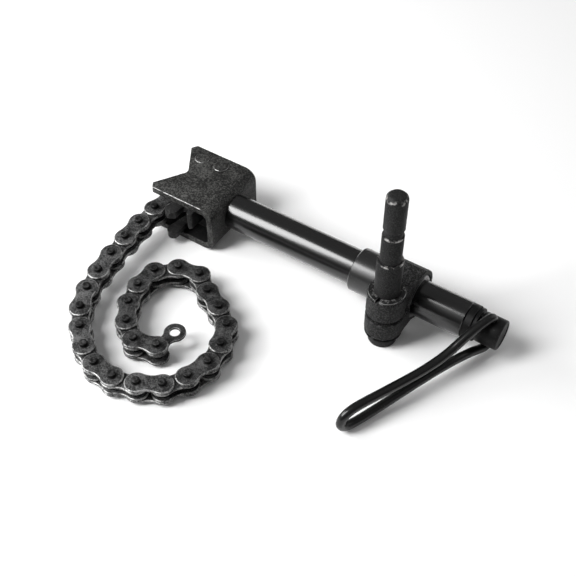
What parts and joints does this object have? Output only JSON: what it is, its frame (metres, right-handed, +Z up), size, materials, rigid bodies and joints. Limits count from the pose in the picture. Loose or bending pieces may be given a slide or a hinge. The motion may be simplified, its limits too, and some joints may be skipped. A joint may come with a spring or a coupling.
{
  "type": "chain pipe clamp",
  "caption": "Chain pipe clamp with a vee block, a riveted roller chain, a tube with a draw screw and wire handle, and a sliding, swivelling carrier with a stepped pin.",
  "frame": {"origin": "centre of the carrier pin's foot, on the floor plane that the clamp lies on", "axes": "+X along the tube from the vee to the wire handle, +Y away from the side where the chain lies, +Z up along the carrier pin"},
  "size_m": [0.2581, 0.1877, 0.1239],
  "materials": {
    "forged_steel": "matte black, worn to bare edges",
    "gloss_black": "gloss black",
    "satin_black": "satin black, brushed edges",
    "rough_casting": "rough blasted black casting",
    "chain_steel": "blackened chain steel"
  },
  "bodies": {
    "frame": {"block_channel": "forged_steel", "rivet_front": "forged_steel", "rivet_rear": "forged_steel", "guide_tube": "gloss_black", "tube_end_bush": "satin_black", "thrust_ring": "satin_black", "chain_link_00": "chain_steel"},
    "screw": {"draw_screw": "satin_black", "screw_keeper": "forged_steel"},
    "hook": {"hook_block": "forged_steel"},
    "bail": {"wire_bail": "gloss_black"},
    "sleeve": {"liner_sleeve": "satin_black"},
    "carrier": {"carrier_casting": "rough_casting"},
    "saw_pin": {"carrier_pin": "satin_black", "pin_ring_lower": "forged_steel", "pin_ring_upper": "forged_steel"},
    "chain_link_01": {"chain_link_01": "chain_steel"},
    "chain_link_02": {"chain_link_02": "chain_steel"},
    "chain_link_03": {"chain_link_03": "chain_steel"},
    "chain_link_04": {"chain_link_04": "chain_steel"},
    "chain_link_05": {"chain_link_05": "chain_steel"},
    "chain_link_06": {"chain_link_06": "chain_steel"},
    "chain_link_07": {"chain_link_07": "chain_steel"},
    "chain_link_08": {"chain_link_08": "chain_steel"},
    "chain_link_09": {"chain_link_09": "chain_steel"},
    "chain_link_10": {"chain_link_10": "chain_steel"},
    "chain_link_11": {"chain_link_11": "chain_steel"},
    "chain_link_12": {"chain_link_12": "chain_steel"},
    "chain_link_13": {"chain_link_13": "chain_steel"},
    "chain_link_14": {"chain_link_14": "chain_steel"},
    "chain_link_15": {"chain_link_15": "chain_steel"},
    "chain_link_16": {"chain_link_16": "chain_steel"},
    "chain_link_17": {"chain_link_17": "chain_steel"},
    "chain_link_18": {"chain_link_18": "chain_steel"},
    "chain_link_19": {"chain_link_19": "chain_steel"},
    "chain_link_20": {"chain_link_20": "chain_steel"},
    "chain_link_21": {"chain_link_21": "chain_steel"},
    "chain_link_22": {"chain_link_22": "chain_steel"},
    "chain_link_23": {"chain_link_23": "chain_steel"},
    "chain_link_24": {"chain_link_24": "chain_steel"},
    "chain_link_25": {"chain_link_25": "chain_steel"},
    "chain_link_26": {"chain_link_26": "chain_steel"},
    "chain_link_27": {"chain_link_27": "chain_steel"},
    "chain_link_28": {"chain_link_28": "chain_steel"},
    "chain_link_29": {"chain_link_29": "chain_steel"},
    "chain_tab": {"chain_tab": "chain_steel"}
  },
  "joints": [
    {"name": "screw_turn", "type": "hinge", "parent": "frame", "child": "screw", "pos_m": [0.061, 0.0266, 0.0201], "axis": [1, 0, 0], "range_deg": [-360, 720]},
    {"name": "hook_draw", "type": "slide", "parent": "frame", "child": "hook", "axis": [1, 0, 0], "range_m": [-0.003, 0.006]},
    {"name": "bail_swing", "type": "hinge", "parent": "screw", "child": "bail", "pos_m": [0.061, 0.0266, 0.0201], "axis": [0, 0, 1], "range_deg": [-8, 235]},
    {"name": "carrier_slide", "type": "slide", "parent": "frame", "child": "sleeve", "axis": [1, 0, 0], "range_m": [-0.098, 0.025]},
    {"name": "carrier_swivel", "type": "hinge", "parent": "sleeve", "child": "carrier", "pos_m": [0, 0.0266, 0.0201], "axis": [1, 0, 0], "range_deg": [-90, 90]},
    {"name": "pin_turn", "type": "hinge", "parent": "carrier", "child": "saw_pin", "pos_m": [0, 0, 0.0201], "axis": [0, 0, 1], "continuous": true},
    {"name": "chain_01", "type": "hinge", "parent": "frame", "child": "chain_link_01", "pos_m": [-0.1734, 0.0434, 0.0177], "axis": [0, 0, -1], "range_deg": [-2, 30]},
    {"name": "chain_02", "type": "hinge", "parent": "chain_link_01", "child": "chain_link_02", "pos_m": [-0.17588, 0.02772, 0.0177], "axis": [0, 0, 1], "range_deg": [-40, 2]},
    {"name": "chain_03", "type": "hinge", "parent": "chain_link_02", "child": "chain_link_03", "pos_m": [-0.17837, 0.01204, 0.01756], "axis": [0.0041, 0.0259, -0.9997], "range_deg": [-5, 40]},
    {"name": "chain_04", "type": "hinge", "parent": "chain_link_03", "child": "chain_link_04", "pos_m": [-0.18085, -0.00363, 0.01715], "axis": [-0.0041, -0.0259, 0.9997], "range_deg": [-40, 8]},
    {"name": "chain_05", "type": "hinge", "parent": "chain_link_04", "child": "chain_link_05", "pos_m": [-0.18168, -0.01946, 0.01631], "axis": [-0.0027, 0.0784, -0.9969], "range_deg": [-8, 40]},
    {"name": "chain_06", "type": "hinge", "parent": "chain_link_05", "child": "chain_link_06", "pos_m": [-0.18113, -0.03528, 0.01507], "axis": [0.0027, -0.0784, 0.9969], "range_deg": [-40, 8]},
    {"name": "chain_07", "type": "hinge", "parent": "chain_link_06", "child": "chain_link_07", "pos_m": [-0.1803, -0.05106, 0.01355], "axis": [-0.0117, 0.0951, -0.9954], "range_deg": [-8, 40]},
    {"name": "chain_08", "type": "hinge", "parent": "chain_link_07", "child": "chain_link_08", "pos_m": [-0.17837, -0.06674, 0.01203], "axis": [0.0117, -0.0951, 0.9954], "range_deg": [-40, 8]},
    {"name": "chain_09", "type": "hinge", "parent": "chain_link_08", "child": "chain_link_09", "pos_m": [-0.17508, -0.08224, 0.01092], "axis": [-0.0221, 0.0474, -0.9986], "range_deg": [-8, 40]},
    {"name": "chain_10", "type": "hinge", "parent": "chain_link_09", "child": "chain_link_10", "pos_m": [-0.16838, -0.0966, 0.01009], "axis": [0.0221, -0.0474, 0.9986], "range_deg": [-40, 8]},
    {"name": "chain_11", "type": "hinge", "parent": "chain_link_10", "child": "chain_link_11", "pos_m": [-0.15818, -0.10876, 0.00953], "axis": [-0.0134, 0.0112, -0.9998], "range_deg": [-7, 40]},
    {"name": "chain_12", "type": "hinge", "parent": "chain_link_11", "child": "chain_link_12", "pos_m": [-0.14602, -0.11896, 0.00926], "axis": [0.0134, -0.0112, 0.9998], "range_deg": [-40, 7]},
    {"name": "chain_13", "type": "hinge", "parent": "chain_link_12", "child": "chain_link_13", "pos_m": [-0.13176, -0.12592, 0.00912], "axis": [0, 0, -1], "range_deg": [-5, 40]},
    {"name": "chain_14", "type": "hinge", "parent": "chain_link_13", "child": "chain_link_14", "pos_m": [-0.11597, -0.12758, 0.00912], "axis": [0, 0, 1], "range_deg": [-40, 5]},
    {"name": "chain_15", "type": "hinge", "parent": "chain_link_14", "child": "chain_link_15", "pos_m": [-0.10071, -0.1232, 0.00912], "axis": [0, 0, -1], "range_deg": [-5, 40]},
    {"name": "chain_16", "type": "hinge", "parent": "chain_link_15", "child": "chain_link_16", "pos_m": [-0.08682, -0.11551, 0.00912], "axis": [0, 0, 1], "range_deg": [-40, 7]},
    {"name": "chain_17", "type": "hinge", "parent": "chain_link_16", "child": "chain_link_17", "pos_m": [-0.07795, -0.10235, 0.00912], "axis": [0, 0, -1], "range_deg": [-7, 40]},
    {"name": "chain_18", "type": "hinge", "parent": "chain_link_17", "child": "chain_link_18", "pos_m": [-0.07384, -0.08701, 0.00912], "axis": [0, 0, 1], "range_deg": [-40, 8]},
    {"name": "chain_19", "type": "hinge", "parent": "chain_link_18", "child": "chain_link_19", "pos_m": [-0.07577, -0.07125, 0.00912], "axis": [0, 0, -1], "range_deg": [-8, 38]},
    {"name": "chain_20", "type": "hinge", "parent": "chain_link_19", "child": "chain_link_20", "pos_m": [-0.08198, -0.05664, 0.00912], "axis": [0, 0, 1], "range_deg": [-38, 8]},
    {"name": "chain_21", "type": "hinge", "parent": "chain_link_20", "child": "chain_link_21", "pos_m": [-0.09482, -0.04731, 0.00912], "axis": [0, 0, -1], "range_deg": [-8, 33]},
    {"name": "chain_22", "type": "hinge", "parent": "chain_link_21", "child": "chain_link_22", "pos_m": [-0.10896, -0.0401, 0.00912], "axis": [0, 0, 1], "range_deg": [-33, 8]},
    {"name": "chain_23", "type": "hinge", "parent": "chain_link_22", "child": "chain_link_23", "pos_m": [-0.12212, -0.03123, 0.00912], "axis": [0, 0, -1], "range_deg": [-8, 18]},
    {"name": "chain_24", "type": "hinge", "parent": "chain_link_23", "child": "chain_link_24", "pos_m": [-0.13776, -0.03398, 0.00912], "axis": [0, 0, 1], "range_deg": [-13, 8]},
    {"name": "chain_25", "type": "hinge", "parent": "chain_link_24", "child": "chain_link_25", "pos_m": [-0.14918, -0.04501, 0.00912], "axis": [0, 0, -1], "range_deg": [-8, 11]},
    {"name": "chain_26", "type": "hinge", "parent": "chain_link_25", "child": "chain_link_26", "pos_m": [-0.15029, -0.06085, 0.00912], "axis": [0, 0, 1], "range_deg": [-13, 8]},
    {"name": "chain_27", "type": "hinge", "parent": "chain_link_26", "child": "chain_link_27", "pos_m": [-0.14591, -0.07611, 0.00912], "axis": [0, 0, -1], "range_deg": [-8, 20]},
    {"name": "chain_28", "type": "hinge", "parent": "chain_link_27", "child": "chain_link_28", "pos_m": [-0.1368, -0.08911, 0.00912], "axis": [0, 0, 1], "range_deg": [-30, 8]},
    {"name": "chain_29", "type": "hinge", "parent": "chain_link_28", "child": "chain_link_29", "pos_m": [-0.12364, -0.09799, 0.00912], "axis": [0, 0, -1], "range_deg": [-8, 40]},
    {"name": "chain_tab_swing", "type": "hinge", "parent": "chain_link_29", "child": "chain_tab", "pos_m": [-0.10824, -0.09415, 0.00912], "axis": [0, 0, 1], "range_deg": [-40, 0]}
  ],
  "couplings": [
    {"joint": "hook_draw", "follows": "screw_turn", "m_per_rad": 0.0004774}
  ]
}
